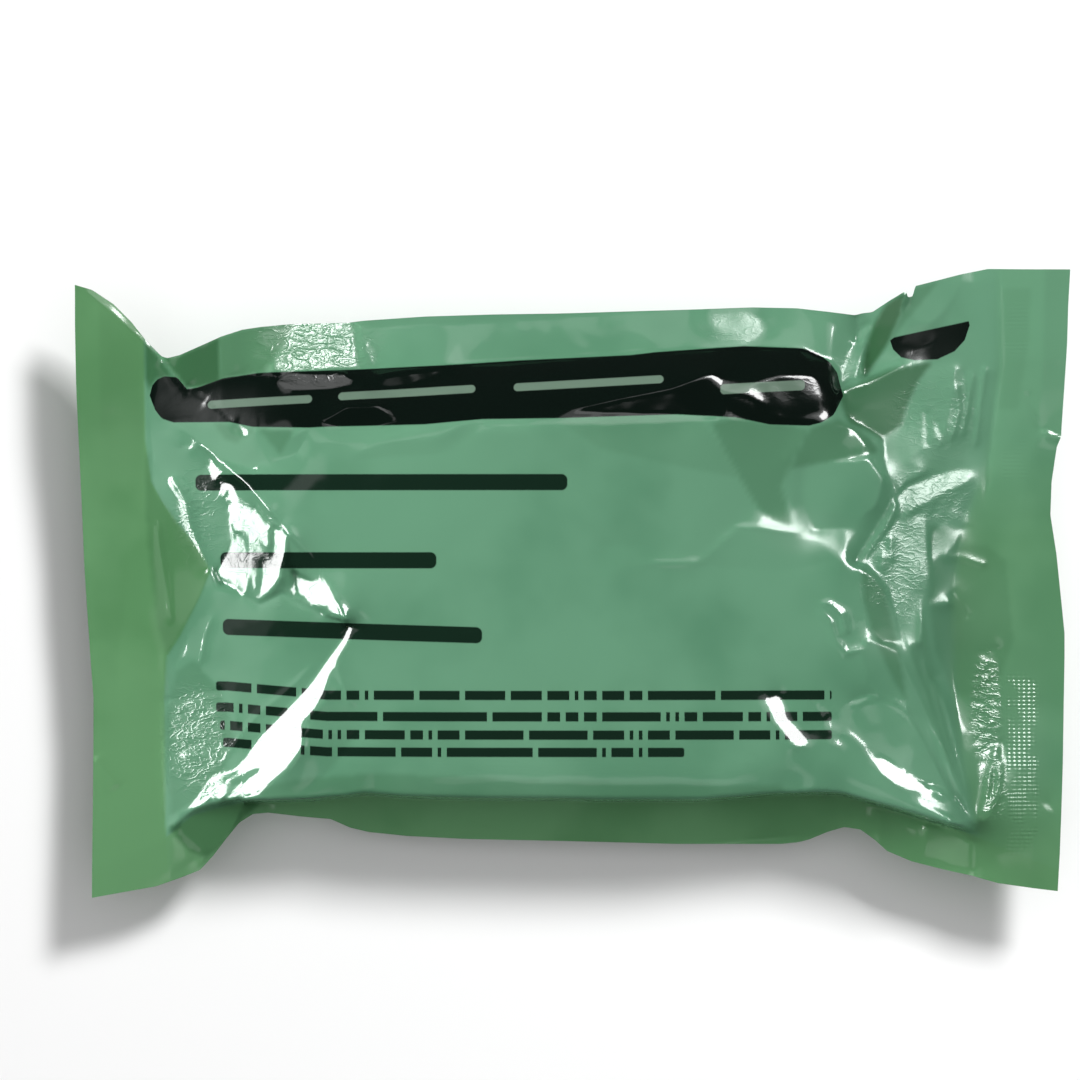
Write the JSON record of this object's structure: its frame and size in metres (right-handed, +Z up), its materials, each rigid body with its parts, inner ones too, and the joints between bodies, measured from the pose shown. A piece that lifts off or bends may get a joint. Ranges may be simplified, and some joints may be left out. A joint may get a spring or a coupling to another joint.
{
  "type": "sealed trauma bandage packet",
  "caption": "Vacuum-sealed green film packet with a flat-wound trauma bandage inside, crowned pillow, pinched long edges and welded end seals.",
  "frame": {"origin": "middle of the packet's box at its lowest point, on the flat underside that it rests on", "axes": "+X along the packet towards the knurled end seal, +Y across it towards the edge with the printed band, +Z up out of the front face"},
  "size_m": [0.1661, 0.1048, 0.0267],
  "materials": {
    "front_film": "glossy, lightly crinkled green film with a dark printed band",
    "back_film": "glossy, crinkled green film, plain",
    "wrap": "olive elastic woven wrap, matte",
    "pad": "off-white absorbent pad, matte"
  },
  "bodies": {
    "root": {"front_film": "front_film", "back_film": "back_film", "bandage_roll": "wrap", "dressing_pad": "pad"}
  },
  "joints": []
}
